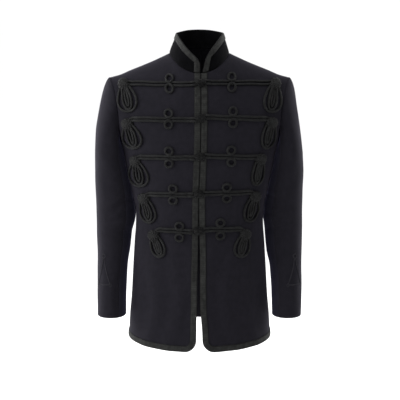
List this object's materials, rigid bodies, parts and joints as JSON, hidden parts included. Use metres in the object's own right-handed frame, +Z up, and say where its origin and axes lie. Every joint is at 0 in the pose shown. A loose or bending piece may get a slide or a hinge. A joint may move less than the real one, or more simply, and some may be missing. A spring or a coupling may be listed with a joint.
{
  "type": "military uniform jacket",
  "caption": "Hollow worn hussar-style patrol jacket: navy wool, black velvet stand collar, flat mohair edge braid, rows of corded frogging with eyelets, netted caps and drop loops.",
  "frame": {"origin": "midway between the two side-neck points of the neck seam, at their height, where the wearer's shoulders hold the jacket", "axes": "+Z up the body, -Y out of the front, +X towards the wearer's left"},
  "size_m": [0.5387, 0.2764, 0.8073],
  "materials": {
    "navy_wool": "fulled wool cloth with a short nap, midnight navy",
    "black_velvet": "cotton velvet, black, short pile",
    "mohair_braid": "flat plaited mohair braid, black with a soft grey sheen",
    "frogging_cord": "round plaited cord, black with a soft sheen",
    "olivet_netting": "toggle netted over with fine black cord"
  },
  "bodies": {
    "root": {"front_right": "navy_wool", "back_right": "navy_wool", "sleeve_right_top": "navy_wool", "sleeve_right_under": "navy_wool", "edge_braid_right": "mohair_braid", "cuff_tracing_right": "frogging_cord", "front_left": "navy_wool", "back_left": "navy_wool", "sleeve_left_top": "navy_wool", "sleeve_left_under": "navy_wool", "edge_braid_left": "mohair_braid", "cuff_tracing_left": "frogging_cord", "edge_braid_back": "mohair_braid", "collar": "black_velvet", "collar_braid": "mohair_braid", "frog_right_1": "frogging_cord", "frog_right_2": "frogging_cord", "frog_right_3": "frogging_cord", "frog_right_4": "frogging_cord", "frog_right_5": "frogging_cord", "frog_left_1": "frogging_cord", "frog_left_2": "frogging_cord", "frog_left_3": "frogging_cord", "frog_left_4": "frogging_cord", "frog_left_5": "frogging_cord", "olivet_1": "olivet_netting", "olivet_2": "olivet_netting", "olivet_3": "olivet_netting", "olivet_4": "olivet_netting", "olivet_5": "olivet_netting"}
  },
  "joints": []
}
